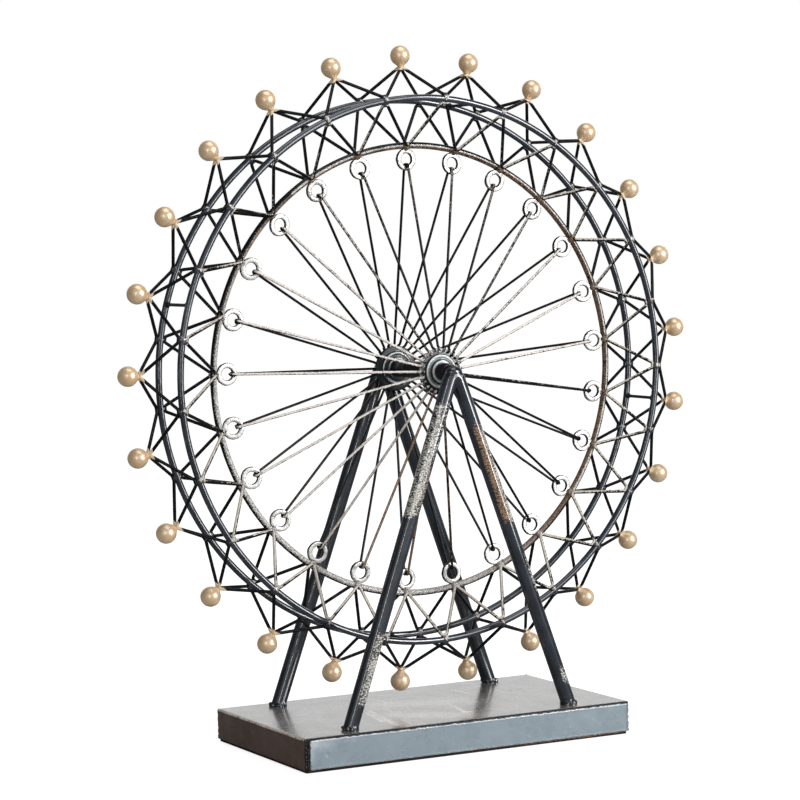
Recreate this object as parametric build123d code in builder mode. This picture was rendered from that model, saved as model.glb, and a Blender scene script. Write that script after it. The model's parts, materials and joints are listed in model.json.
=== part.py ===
from build123d import *
from math import cos, pi, radians, sin, sqrt
import os

# Table-top ferris wheel ornament in welded wire and rod.  Millimetres, +Z up,
# origin on the surface it stands on, under the middle of the base.  The wheel
# turns about the Y axis direction; -Y is the front.

# --- base -------------------------------------------------------------------
base_length = 222.5
base_width = 121.0
base_height = 20.2
sheet_thickness = 1.2          # folded steel cover
cover_corner_radius = 2.5      # upright corners of the cover
cover_edge_bevel = 0.8         # fold round the top
board_thickness = 6.0          # board pressed into the open underside
board_reveal = 1.8             # height of board that shows below the cover

# --- stand ------------------------------------------------------------------
leg_diameter = 9.0
foot_inset_x = 35.95           # leg centres on top of the base, in from its ends
foot_inset_y = 12.8            # and from its front and back
crown_spread_x = 5.6           # between leg centres at axle height
crown_spread_y = 89.0
crown_drop = 1.0               # leg tops below the axle's centre
axle_diameter = 8.4
axle_overhang = 2.0            # axle ends past the leg centres

# --- hub --------------------------------------------------------------------
hub_tube_wall = 0.95
hub_running_clearance = 0.05   # radial, tube on axle
hub_end_float = 0.4            # between each tube end and the legs
flange_offset = 27.5           # flange mid-plane from the wheel's mid-plane
flange_diameter = 28.0
flange_thickness = 2.2
flange_steps = ((20.8, 1.3), (14.2, 1.3))   # diameter and height of the steps on each face

# --- wheel ------------------------------------------------------------------
ball_count = 25
wheel_phase = -2.5             # turn of the first ball from the top, degrees
ball_diameter = 12.0
ball_circle_radius = 190.0
wheel_clearance = 9.5          # between the lowest ball and the base
hoop_wire = 4.0
outer_hoop_radius = 163.7
outer_hoop_offset = 15.8       # each outer hoop from the wheel's mid-plane
inner_hoop_radius = 135.8
zigzag_wire = 2.0
bend_flat = 1.6                # half of the short flat at a zigzag's bend on its hoop
strut_balls = (1, 7, 13, 20)   # balls under which a strut ties the outer hoops
eyelet_diameter = 13.4
eyelet_hole = 7.4
eyelet_thickness = 2.4
spoke_wire = 1.6
weld_sink = 0.25               # how far welded wires melt into each other
strut_sink = 1.0               # how far a strut's ends melt into the hoops
spoke_sink = 0.5               # how far a spoke's ends melt into the rim of a flange
loop_sink = 0.05               # how far a spoke's loop is pulled into its eyelet

# --- facets: what repeats is drawn with few flat faces ----------------------
wire_sides = 6
eyelet_sides = 10
ball_sides = 10
ball_facet_tilts = (-62, -20, 20, 62)        # degrees from the ball's equator

# --- worked out -------------------------------------------------------------
pitch = 360 / ball_count
half_pitch = pitch / 2
axle_height = base_height + wheel_clearance + ball_circle_radius + ball_diameter / 2
axle_radius = axle_diameter / 2
hub_bore_radius = axle_radius + hub_running_clearance
hub_radius = hub_bore_radius + hub_tube_wall
hoop_wire_radius = hoop_wire / 2
zigzag_radius = zigzag_wire / 2
spoke_radius = spoke_wire / 2
touch = hoop_wire_radius + zigzag_radius - weld_sink      # welded hoop and zigzag wire centres
eyelet_circle_radius = inner_hoop_radius - hoop_wire_radius - eyelet_diameter / 2 + weld_sink
loop_radius = eyelet_circle_radius - eyelet_hole / 2 + spoke_radius - loop_sink
loop_half_width = eyelet_thickness / 2 + spoke_radius / 2
crest_radius = ball_circle_radius - ball_diameter / 2 - zigzag_radius + weld_sink
overrun = 25.0                 # spare length that the trimming planes cut away

wheel_plane = Plane(origin=(0, 0, axle_height), x_dir=(1, 0, 0), z_dir=(0, -1, 0))

os.makedirs("parts", exist_ok=True)


def keep(piece, name):
    """Label a finished piece and write its STEP file."""
    piece.part.label = name
    export_step(piece.part, f"parts/{name}.step")


def same_area(radius, sides):
    """Corner radius of the polygon that has the area of a circle of this radius."""
    return radius * sqrt(2 * pi / (sides * sin(2 * pi / sides)))


def over_flats(radius, sides):
    """Corner radius of the polygon whose sides are this far from its centre."""
    return radius / cos(pi / sides)


def places_round(count):
    """Even turns about the axle, from the first ball's radius on."""
    step = 360 / count
    return [Location((0, 0, axle_height), (0, wheel_phase + i * step, 0)) for i in range(count)]


def at_turn(degrees, radius, offset):
    """The point this far round from the radius that +Z stands for."""
    return Vector(0, offset, radius).rotate(Axis.Y, degrees)


def tangent_at(degrees):
    """The way round the wheel at the point this far round."""
    return Vector(1, 0, 0).rotate(Axis.Y, degrees)


ball_places = places_round(ball_count)
run_places = places_round(2 * ball_count)


# --- base -------------------------------------------------------------------
cover_height = base_height - board_reveal
inner_length = base_length - 2 * sheet_thickness
inner_width = base_width - 2 * sheet_thickness
inner_corner_radius = cover_corner_radius - sheet_thickness

with BuildPart() as base_cover:
    with BuildSketch(Plane.XY.offset(board_reveal)):
        RectangleRounded(base_length, base_width, cover_corner_radius)
    extrude(amount=cover_height)
    chamfer(base_cover.faces().sort_by(Axis.Z)[-1].edges(), length=cover_edge_bevel)
    with BuildSketch(Plane.XY.offset(board_reveal)):
        RectangleRounded(inner_length, inner_width, inner_corner_radius)
    extrude(amount=cover_height - sheet_thickness, mode=Mode.SUBTRACT)
keep(base_cover, "base_cover")

with BuildPart() as base_board:
    with BuildSketch():
        RectangleRounded(inner_length, inner_width, inner_corner_radius)
    extrude(amount=board_thickness)
keep(base_board, "base_board")


# --- stand ------------------------------------------------------------------
def leg_line(side, face):
    """Centre line of one leg: side is -1 left or 1 right, face is -1 front or 1 back."""
    foot_x = base_length / 2 - foot_inset_x
    foot_y = base_width / 2 - foot_inset_y
    foot = Vector(side * foot_x, face * foot_y, base_height)
    crown = Vector(side * crown_spread_x / 2, face * crown_spread_y / 2, axle_height)
    return foot, (crown - foot).normalized(), (crown - foot).length


def leg(side, face):
    """Rod cut flat on the base, mitred against its partner and saddled on the axle."""
    foot, along, length = leg_line(side, face)
    with BuildPart() as rod:
        with BuildSketch(Plane(origin=foot - along * overrun, z_dir=along)):
            Circle(leg_diameter / 2)
        extrude(amount=length + 2 * overrun)
        split(bisect_by=Plane.XY.offset(base_height), keep=Keep.TOP)
        split(bisect_by=Plane.XY.offset(axle_height - crown_drop), keep=Keep.BOTTOM)
        split(bisect_by=Plane.YZ, keep=Keep.TOP if side > 0 else Keep.BOTTOM)
        with BuildSketch(wheel_plane):
            Circle(axle_radius)
        extrude(amount=base_width / 2, both=True, mode=Mode.SUBTRACT)
    return rod


leg_sides = {"left": -1, "right": 1}
leg_faces = {"front": -1, "back": 1}
for face_name, face in leg_faces.items():
    for side_name, side in leg_sides.items():
        keep(leg(side, face), f"leg_{face_name}_{side_name}")

axle_half_length = crown_spread_y / 2 + axle_overhang
with BuildPart() as axle_rod:
    with BuildSketch(wheel_plane):
        Circle(axle_radius)
    extrude(amount=axle_half_length, both=True)
keep(axle_rod, "axle_rod")

# --- hub --------------------------------------------------------------------
leg_inner_face = (crown_spread_y - leg_diameter) / 2
hub_half_length = leg_inner_face - hub_end_float

with BuildPart() as hub_tube:
    with BuildSketch(wheel_plane):
        Circle(hub_radius)
        Circle(hub_bore_radius, mode=Mode.SUBTRACT)
    extrude(amount=hub_half_length, both=True)
keep(hub_tube, "hub_tube")

rim_turn = 90 - wheel_phase - half_pitch      # puts one side of the rim under each spoke
flange_levels = ((flange_diameter, flange_thickness / 2), *flange_steps)

with BuildPart() as front_flange:
    half_thickness = 0
    for level_diameter, level_height in flange_levels:
        half_thickness += level_height
        with BuildSketch(wheel_plane.offset(flange_offset)):
            RegularPolygon(over_flats(level_diameter / 2, ball_count), ball_count, rotation=rim_turn)
            Circle(hub_radius, mode=Mode.SUBTRACT)
        extrude(amount=half_thickness, both=True)
keep(front_flange, "front_flange")

with BuildPart() as back_flange:
    mirror(front_flange.part, about=Plane.XZ)
keep(back_flange, "back_flange")


# --- hoops ------------------------------------------------------------------
def hoop(radius, offset, section_turn):
    """Hoop of straight mitred runs, in turn across a ball's radius and midway between two."""
    mitre = half_pitch / 2
    with BuildPart() as run:
        with BuildSketch(Plane.YZ):
            with Locations((offset, radius)):
                RegularPolygon(
                    same_area(hoop_wire_radius, wire_sides), wire_sides, rotation=section_turn
                )
        extrude(amount=overrun)
        split(bisect_by=Plane(origin=(0, 0, 0), z_dir=tangent_at(mitre)), keep=Keep.BOTTOM)
        mirror(about=Plane.YZ)
    with BuildPart() as ring:
        with Locations(*run_places):
            add(run.part)
    return ring


flats_radial = 0
flats_sideways = 180 / wire_sides
keep(hoop(outer_hoop_radius, -outer_hoop_offset, flats_radial), "outer_hoop_front")
keep(hoop(outer_hoop_radius, outer_hoop_offset, flats_radial), "outer_hoop_back")
keep(hoop(inner_hoop_radius, 0, flats_sideways), "inner_hoop")


# --- zigzag wires -----------------------------------------------------------
def zigzag(crest, bend):
    """Endless zigzag: from each crest, on a ball's radius, down to the bends beside it."""
    flat_start = bend - tangent_at(half_pitch) * bend_flat
    run = (flat_start - crest).normalized()
    with BuildPart() as period:
        with BuildLine() as half_period:
            Polyline(crest - run * overrun, flat_start, bend)
        with BuildSketch(Plane(origin=half_period.line @ 0, z_dir=run)):
            RegularPolygon(same_area(zigzag_radius, wire_sides), wire_sides)
        sweep(transition=Transition.RIGHT)
        split(bisect_by=Plane.YZ, keep=Keep.TOP)
        mirror(about=Plane.YZ)
    with BuildPart() as wire:
        with Locations(*ball_places):
            add(period.part)
    return wire


outer_zigzag_front = zigzag(
    crest=at_turn(0, crest_radius, -zigzag_radius),
    bend=at_turn(half_pitch, outer_hoop_radius + touch, -outer_hoop_offset),
)
inner_zigzag_front = zigzag(
    crest=at_turn(0, inner_hoop_radius - zigzag_radius, -touch),
    bend=at_turn(half_pitch, outer_hoop_radius - touch, -outer_hoop_offset),
)
keep(outer_zigzag_front, "outer_zigzag_front")
keep(inner_zigzag_front, "inner_zigzag_front")

with BuildPart() as outer_zigzag_back:
    mirror(outer_zigzag_front.part, about=Plane.XZ)
keep(outer_zigzag_back, "outer_zigzag_back")

with BuildPart() as inner_zigzag_back:
    mirror(inner_zigzag_front.part, about=Plane.XZ)
keep(inner_zigzag_back, "inner_zigzag_back")

# --- struts between the outer hoops -----------------------------------------
strut_half_length = outer_hoop_offset - hoop_wire_radius + strut_sink
with BuildPart() as strut:
    with BuildSketch(Plane.XZ):
        with Locations((0, outer_hoop_radius)):
            RegularPolygon(same_area(zigzag_radius, wire_sides), wire_sides)
    extrude(amount=strut_half_length, both=True)

with BuildPart() as hoop_struts:
    with Locations(*[ball_places[ball] for ball in strut_balls]):
        add(strut.part)
keep(hoop_struts, "hoop_struts")

# --- eyelets and the spokes looped through them -----------------------------
with BuildPart() as eyelet:
    with BuildSketch(Plane.XZ):
        with Locations((0, eyelet_circle_radius)):
            RegularPolygon(same_area(eyelet_diameter / 2, eyelet_sides), eyelet_sides)
            RegularPolygon(
                same_area(eyelet_hole / 2, eyelet_sides), eyelet_sides, mode=Mode.SUBTRACT
            )
    extrude(amount=eyelet_thickness / 2, both=True)

with BuildPart() as eyelets:
    with Locations(*ball_places):
        add(eyelet.part)
keep(eyelets, "eyelets")

spoke_foot_radius = flange_diameter / 2 - spoke_sink
with BuildPart() as spoke:
    with BuildLine() as hairpin:
        Polyline(
            (0, -flange_offset, spoke_foot_radius),
            (0, -loop_half_width, loop_radius),
            (0, loop_half_width, loop_radius),
            (0, flange_offset, spoke_foot_radius),
        )
    with BuildSketch(Plane(origin=hairpin.line @ 0, z_dir=hairpin.line % 0)):
        RegularPolygon(same_area(spoke_radius, wire_sides), wire_sides)
    sweep(transition=Transition.RIGHT)

with BuildPart() as spokes:
    with Locations(*ball_places):
        add(spoke.part)
keep(spokes, "spokes")

# --- balls ------------------------------------------------------------------
ball_centre = at_turn(0, ball_circle_radius, 0)
with BuildPart() as ball:
    with Locations(ball_centre):
        Box(2 * ball_diameter, 2 * ball_diameter, ball_diameter)
    for tilt in ball_facet_tilts:
        for side in range(ball_sides):
            outward = Vector(1, 0, 0).rotate(Axis.Y, -tilt).rotate(Axis.Z, side * 360 / ball_sides)
            tangent = Plane(origin=ball_centre + outward * (ball_diameter / 2), z_dir=outward)
            split(bisect_by=tangent, keep=Keep.BOTTOM)

for number, place in enumerate(ball_places, start=1):
    with BuildPart() as seated_ball:
        with Locations(place):
            add(ball.part)
    keep(seated_ball, f"ball_{number:02d}")
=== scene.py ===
import json
import random
from math import atan2, copysign, cos, degrees, hypot, pi, radians, sin, sqrt, tan

import bpy
import numpy as np
from mathutils import Matrix, Vector
from mathutils.noise import noise


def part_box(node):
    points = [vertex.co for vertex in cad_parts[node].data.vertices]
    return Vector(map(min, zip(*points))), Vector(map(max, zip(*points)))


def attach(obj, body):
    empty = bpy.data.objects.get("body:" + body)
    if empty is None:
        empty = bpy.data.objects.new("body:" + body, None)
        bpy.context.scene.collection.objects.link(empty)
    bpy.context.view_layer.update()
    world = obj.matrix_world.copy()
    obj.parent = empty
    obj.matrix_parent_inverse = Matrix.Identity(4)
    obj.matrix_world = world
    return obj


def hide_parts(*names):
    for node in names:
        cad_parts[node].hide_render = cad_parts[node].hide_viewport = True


# Table-top ferris wheel ornament.  Metres, +Z up, -Y the front: the CAD frame.
# Lengths below are written in millimetres and turned to metres with MM.
MM = 0.001

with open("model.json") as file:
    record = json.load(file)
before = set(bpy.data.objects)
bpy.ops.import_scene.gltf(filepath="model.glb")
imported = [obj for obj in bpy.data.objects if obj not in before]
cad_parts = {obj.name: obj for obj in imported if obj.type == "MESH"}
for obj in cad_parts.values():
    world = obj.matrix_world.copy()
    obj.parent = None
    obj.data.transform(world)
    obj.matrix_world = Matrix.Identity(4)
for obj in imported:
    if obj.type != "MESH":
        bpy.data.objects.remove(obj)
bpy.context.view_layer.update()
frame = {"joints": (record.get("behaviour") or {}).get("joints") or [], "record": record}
random.seed(7)
scene = bpy.context.scene
uniform = random.uniform

# --- sizes taken from the frame
AXLE = Vector(frame["joints"][0]["pos_m"])
BALLS = [n for n in frame["record"]["behaviour"]["bodies"]["wheel"] if n.startswith("ball_")]
COUNT = len(BALLS)
PITCH = 2 * pi / COUNT


def middle(node):
    low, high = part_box(node)
    return (low + high) / 2


def half_size(node):
    low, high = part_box(node)
    return (high - low) / 2


first_ball = middle(BALLS[0]) - AXLE
PHASE = atan2(first_ball.x, first_ball.z)
BALL_CIRCLE = hypot(first_ball.x, first_ball.z)
HOOP_Y = middle("outer_hoop_back").y
COVER_LOW, COVER_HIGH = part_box("base_cover")
BASE_TOP = COVER_HIGH.z
HUB_HALF = half_size("hub_tube").y

# --- sizes of the wirework
BALL_RADIUS = 6.0 * MM
HOOP_WIRE = 2.0 * MM
OUTER_HOOP = half_size("outer_hoop_front").z - HOOP_WIRE
INNER_HOOP = half_size("inner_hoop").z - 1.1 * HOOP_WIRE
ZIGZAG_WIRE = 1.0 * MM
SPOKE_WIRE = 0.8 * MM
TOUCH = HOOP_WIRE + ZIGZAG_WIRE - 0.25 * MM
CREST = BALL_CIRCLE - BALL_RADIUS - 0.75 * MM
EYELET_CIRCLE = INNER_HOOP - HOOP_WIRE - 6.45 * MM
EYELET_OUTER, EYELET_HOLE, EYELET_HALF = 6.7 * MM, 3.7 * MM, 1.2 * MM
LOOP = EYELET_CIRCLE - EYELET_HOLE + SPOKE_WIRE
HUB_RADIUS = half_size("hub_tube").z
FLANGE_FACE = 28.6 * MM
LEG_RADIUS = 4.5 * MM


def turn_of(place):
    """Angle of a place round the wheel; whole numbers are balls, halves lie between."""
    return PHASE + place * PITCH


def on_wheel(place, radius, y):
    a = turn_of(place)
    return AXLE + Vector((sin(a) * radius, y, cos(a) * radius))


# --- mesh helpers
def new_object(name, data):
    """Object for a mesh, a lamp or a camera, linked into the scene."""
    thing = bpy.data.objects.new(name, data)
    scene.collection.objects.link(thing)
    return thing


class Shape:
    """Vertices, faces and painted masks gathered for one piece."""

    def __init__(self):
        self.verts, self.faces, self.masks = [], [], {}
        self.count = 0

    def add(self, verts, faces, **masks):
        verts = np.asarray(verts, float)
        for name in {**self.masks, **masks}:
            values = np.broadcast_to(np.asarray(masks.get(name, 0.0), float), (len(verts),))
            self.masks.setdefault(name, [np.zeros(self.count)]).append(values)
        self.verts.append(verts)
        self.faces += [tuple(i + self.count for i in face) for face in faces]
        self.count += len(verts)
        return self

    def piece(self, name, body, material, slot, replaces=()):
        mesh = bpy.data.meshes.new(name)
        mesh.from_pydata(np.concatenate(self.verts).tolist(), [], self.faces)
        mesh.update()
        mesh.shade_smooth()
        for mask, values in self.masks.items():
            layer = mesh.attributes.new(mask, "FLOAT", "POINT")
            layer.data.foreach_set("value", np.concatenate(values).astype(np.float32))
        mesh.materials.append(material)
        piece = new_object(name, mesh)
        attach(piece, body)
        if replaces:
            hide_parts(*replaces)
        return piece


def unit(v):
    return v / np.maximum(np.linalg.norm(v, axis=-1, keepdims=True), 1e-12)


def share(value):
    """The value kept between 0 and 1."""
    return np.clip(value, 0, 1)


def fade(distance, width):
    """1 at no distance, dying away over the width in millimetres."""
    return np.exp(-distance / (width * MM))


def bell(value, centre, width):
    """1 at the centre, falling off over the width on both sides."""
    return np.exp(-(((value - centre) / width) ** 2))


def skin(rings, sides, closed=False):
    """Quads between one ring of points and the next."""
    faces = []
    for i in range(rings if closed else rings - 1):
        j = (i + 1) % rings
        for k in range(sides):
            m = (k + 1) % sides
            faces.append((i * sides + k, i * sides + m, j * sides + m, j * sides + k))
    return faces


def caps(rings, sides):
    """Flat ends on the first and the last ring."""
    return [tuple(reversed(range(sides))), tuple((rings - 1) * sides + k for k in range(sides))]


# a direction that no wire starts along, and the leans of the rings that round a wire's end
ANY_SIDE = (0.31, 0.95, 0.05)
END_LEANS = (0.45, 0.9, 1.3)
END_REACH = 0.6
LUMP_SIZE = 3 * MM


def tube(path, radius, sides=12, closed=False, lump=0.0):
    """Round wire along a path, with rounded ends if it is open."""
    points = np.array([tuple(p) for p in path], float)
    radii = np.full(len(points), radius, float)
    if not closed:
        points, radii = rounded_ends(points, radii)
        along = unit(np.gradient(points, axis=0))
    else:
        along = unit(np.roll(points, -1, 0) - np.roll(points, 1, 0))
    n = len(points)
    side = np.zeros((n, 3))
    side[0] = unit(np.cross(along[0], ANY_SIDE))
    for i in range(1, n):
        side[i] = unit(side[i - 1] - np.dot(side[i - 1], along[i]) * along[i])
    other = np.cross(along, side)
    twist = np.zeros(n)
    if closed:
        v = side[-1] - np.dot(side[-1], along[0]) * along[0]
        off = atan2(np.dot(np.cross(v, side[0]), along[0]), np.dot(v, side[0]))
        twist = off * np.arange(n) / n
    turn = 2 * pi * np.arange(sides) / sides
    if lump:
        radii = radii * [1 + lump * noise(Vector(p) / LUMP_SIZE) for p in points]
    angle = (turn[None, :] + twist[:, None])[..., None]
    ring = np.cos(angle) * side[:, None, :] + np.sin(angle) * other[:, None, :]
    verts = (points[:, None, :] + ring * radii[:, None, None]).reshape(-1, 3)
    faces = skin(n, sides, closed) + ([] if closed else caps(n, sides))
    return verts, faces, ring.reshape(-1, 3)


def rounded_ends(points, radii):
    """The same wire with small extra rings that round each of its ends."""
    first, last = unit(points[1] - points[0]), unit(points[-1] - points[-2])
    shift = [END_REACH * sin(lean) for lean in END_LEANS]
    shrink = [cos(lean) for lean in END_LEANS]
    head = [points[0] - first * radii[0] * s for s in reversed(shift)]
    tail = [points[-1] + last * radii[-1] * s for s in shift]
    head_r = [radii[0] * c for c in reversed(shrink)]
    tail_r = [radii[-1] * c for c in shrink]
    return np.vstack([head, points, tail]), np.concatenate([head_r, radii, tail_r])


def bent(corners, bend, closed=False, steps=5, span=6 * MM):
    """A path through the corners with each one rounded to the bend radius."""
    corners = [Vector(c) for c in corners]
    n, path = len(corners), []
    for i, corner in enumerate(corners):
        if not closed and i in (0, n - 1):
            path.append(corner)
            continue
        before, after = corners[i - 1], corners[(i + 1) % n]
        into, out = (before - corner).normalized(), (after - corner).normalized()
        half = into.angle(out) / 2
        room = 0.49 * min((before - corner).length, (after - corner).length)
        reach = min(bend / tan(half), room)
        radius = reach * tan(half)
        centre = corner + (into + out).normalized() * (radius / sin(half))
        a, b = corner + into * reach - centre, corner + out * reach - centre
        for s in range(steps + 1):
            path.append(centre + a.slerp(b, s / steps).normalized() * radius)
    spread = []
    for i in range(len(path) if closed else len(path) - 1):
        a, b = path[i], path[(i + 1) % len(path)]
        parts = max(1, round((b - a).length / span))
        spread += [a.lerp(b, k / parts) for k in range(parts)]
    if not closed:
        spread.append(path[-1])
    return spread


def sphere(rings, sides):
    """Directions over a sphere, ring by ring, each with its latitude and longitude."""
    for r in range(rings + 1):
        lat = pi * r / rings
        for k in range(sides):
            lon = 2 * pi * k / sides
            d = (sin(lat) * cos(lon), sin(lat) * sin(lon), cos(lat))
            yield d, lat, lon


def blob(centre, axes, sizes, rough, grain=1.6, rings=10, sides=14):
    """Lump of weld: an ellipsoid along three axes with an uneven skin.

    Its sizes and the grain of the skin are in millimetres.
    """
    verts = []
    for d, _, _ in sphere(rings, sides):
        p = sum((axes[i] * (d[i] * sizes[i] * MM) for i in range(3)), Vector())
        verts.append(centre + p * (1 + rough * noise((centre + p) / (grain * MM))))
    return verts, skin(rings + 1, sides)


def varied(*sizes):
    """Each size times a random share between its low and high."""
    return [size * uniform(low, high) for size, low, high in sizes]


def wheel_axes(place):
    """Radial, tangential and axial directions at a place on the wheel."""
    s, c = sin(turn_of(place)), cos(turn_of(place))
    return Vector((s, 0, c)), Vector((c, 0, -s)), Vector((0, 1, 0))


def lathe(profile, centre, segments, wave=None):
    """Solid of revolution about the axle's direction from (radius, y) points."""
    verts, faces = [], []
    n = len(profile)
    for s in range(segments):
        a = 2 * pi * s / segments
        for radius, y in profile:
            r = radius + (wave(a, radius) if wave else 0.0)
            verts.append(centre + Vector((sin(a) * r, y, cos(a) * r)))
    for s in range(segments):
        t = (s + 1) % segments
        for k in range(n - 1):
            faces.append((s * n + k, s * n + k + 1, t * n + k + 1, t * n + k))
    return verts, faces


# --- materials
class Nodes:
    """Short names for the nodes of a material or of the world."""

    def __init__(self, owner):
        owner.use_nodes = True
        self.nodes, self.links = owner.node_tree.nodes, owner.node_tree.links

    def put(self, value, socket):
        if isinstance(value, bpy.types.NodeSocket):
            self.links.new(value, socket)
        elif socket.type == "RGBA":
            socket.default_value = (*value, 1)
        else:
            socket.default_value = value

    def add(self, kind, inputs=None, **settings):
        node = self.nodes.new(f"ShaderNode{kind}")
        for name, value in settings.items():
            setattr(node, name, value)
        for name, value in (inputs or {}).items():
            self.put(value, node.inputs[name])
        return node

    def math(self, operation, *values):
        return self.add("Math", dict(enumerate(values)), operation=operation).outputs[0]

    def span(self, value, low, high, to_low=0.0, to_high=1.0, interpolation_type="LINEAR"):
        """The value's place between low and high, as a value between the other two."""
        inputs = {"Value": value, "From Min": low, "From Max": high}
        inputs.update({"To Min": to_low, "To Max": to_high})
        return self.add("MapRange", inputs, interpolation_type=interpolation_type).outputs[0]


class Paint(Nodes):
    """A material round one shader, with the steps that the paints share."""

    def __init__(self, name):
        self.material = bpy.data.materials.new(name)
        super().__init__(self.material)
        self.nodes.clear()
        out = self.add("OutputMaterial")
        self.shader = self.add("BsdfPrincipled")
        self.links.new(self.shader.outputs[0], out.inputs[0])
        self.coord = self.add("TexCoord").outputs["Object"]

    def noise(self, scale, detail=4.0, rough=0.55, stretch=None):
        place = self.coord
        if stretch:
            place = self.add("Mapping", {0: place, "Scale": stretch}).outputs[0]
        inputs = {"Vector": place, "Scale": scale, "Detail": detail, "Roughness": rough}
        return self.add("TexNoise", inputs).outputs["Fac"]

    def mask(self, name):
        return self.add("Attribute", attribute_name=name).outputs["Fac"]

    def sum(self, *terms):
        total = 0.0
        for value, weight in terms:
            total = self.math("MULTIPLY_ADD", value, weight, total)
        return total

    def step(self, value, low, high, to_low=0.0, to_high=1.0):
        return self.span(value, low, high, to_low, to_high, "SMOOTHSTEP")

    def marks(self, name, low, high, *noises):
        """Where a painted mask, roughened by noises, rises from low to high."""
        return self.step(self.sum((self.mask(name), 1.0), *noises), low, high)

    def mix(self, factor, a, b):
        return self.add("Mix", {0: factor, 6: a, 7: b}, data_type="RGBA").outputs[2]

    def bump(self, height, distance):
        inputs = {"Strength": 1.0, "Distance": distance, "Height": height}
        return self.add("Bump", inputs).outputs[0]

    def finish(self, color, rough, normal=None, metallic=0.0, **sockets):
        sockets.update({"Base_Color": color, "Roughness": rough, "Metallic": metallic})
        if normal is not None:
            sockets["Normal"] = normal
        for name, value in sockets.items():
            self.put(value, self.shader.inputs[name.replace("_", " ")])
        return self.material


COPPER_BROWN = (0.26, 0.15, 0.08)
GILT = (0.80, 0.64, 0.45)
SOOT = (0.012, 0.012, 0.013)


def worn_enamel(
    name,
    coat=((0.006, 0.007, 0.009), (0.014, 0.016, 0.020)),
    under=((0.72, 0.66, 0.58), COPPER_BROWN),
    wear_size=900.0,
    stretch=None,
    rough=(0.30, 0.45),
    gloss=0.5,
    pits=0.05 * MM,
    shine=1.5,
    fleck=(0.10, 0.07, 0.05),
    flecks=(0.50, 0.62, 0.55),
):
    """Dark enamel over metal, rubbed through to cream or bronze where the masks say; these masks
    also carry painted highlights, glints and shade.
    """
    p = Paint(name)
    broad = p.noise(70.0, 3.0)
    grain = p.noise(wear_size, 6.0, 0.65, stretch)
    fine = p.noise(2600.0, 3.0, 0.6)
    wear = p.marks("wear", 1.02, 1.12, (grain, 0.9), (broad, 0.25))
    coat_color = p.mix(p.step(broad, 0.35, 0.65), coat[0], coat[1])
    bronze = p.marks("rust", 0.78, 1.1, (grain, 0.6), (fine, 0.3))
    under_color = p.mix(bronze, under[0], under[1])
    low, high, depth = flecks
    ribs = p.noise(1.7 * wear_size, 2.0, 0.6, stretch)
    spots = p.step(p.sum((fine, 0.25), (ribs, 0.75)), low, high, 0.0, depth)
    under_color = p.mix(spots, under_color, fleck)
    gold = p.marks("gold", 0.62, 0.74, (grain, 0.35))
    color = p.mix(gold, p.mix(wear, coat_color, under_color), GILT)
    roughness = p.sum((p.step(grain, 0.3, 0.7, *rough), 1.0), (wear, 0.12))
    height = p.sum((wear, -0.8), (grain, 0.7), (fine, 0.25))
    coat_sockets = {"Coat_Weight": gloss, "Coat_Roughness": 0.07, "Coat_IOR": shine}
    return p.finish(color, roughness, p.bump(height, pits), Specular_IOR_Level=0.12, **coat_sockets)


def bright_steel(name, light=(0.80, 0.79, 0.76), dark=(0.16, 0.15, 0.14)):
    """Zinc-bright steel with grey mottling, painted near-black as shade where the dark mask says.
    """
    p = Paint(name)
    broad = p.noise(300.0, 4.0)
    spots = p.noise(1300.0, 5.0, 0.65)
    stain = p.step(p.sum((spots, 0.7), (broad, 0.5), (p.mask("wear"), 0.5)), 0.66, 0.88)
    # painted shade: near-black on the walls of the eyelets, where the dark mask says
    wall_shade = p.marks("dark", 0.68, 0.82, (spots, 0.5))
    color = p.mix(wall_shade, p.mix(stain, light, dark), SOOT)
    metal = p.step(wall_shade, 0.0, 1.0, 0.55, 0.0)
    height = p.sum((spots, 1.0), (stain, -0.5))
    return p.finish(color, p.step(spots, 0.3, 0.7, 0.28, 0.46), p.bump(height, 0.08 * MM), metal)


def gold_paint(name):
    """Satin champagne gold with a pearl's depth."""
    p = Paint(name)
    broad = p.noise(160.0, 2.0)
    fine = p.noise(2600.0, 4.0, 0.6)
    color = p.mix(p.step(broad, 0.3, 0.7), (0.95, 0.63, 0.34), (0.98, 0.75, 0.48))
    color = p.mix(p.step(fine, 0.62, 0.74, 0.0, 0.5), color, (0.50, 0.29, 0.12))
    rough = p.step(fine, 0.3, 0.7, 0.30, 0.38)
    pearl = {"Coat_Weight": 1.0, "Coat_Roughness": 0.27, "Coat_IOR": 2.4}
    return p.finish(color, rough, p.bump(fine, 0.010 * MM), 0.30, **pearl)


# colours of the marks on the sheet metal, among them a painted sheen and painted shade
PIT, SHEEN_PALE, TAN = (0.030, 0.024, 0.020), (0.60, 0.66, 0.70), (0.40, 0.28, 0.19)
SCUFF_AND_SHEEN, CHIP, SHADE_AND_SEAM_BLACK = (0.78, 0.70, 0.60), (0.70, 0.66, 0.61), (0.008, 0.008, 0.008)


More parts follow.
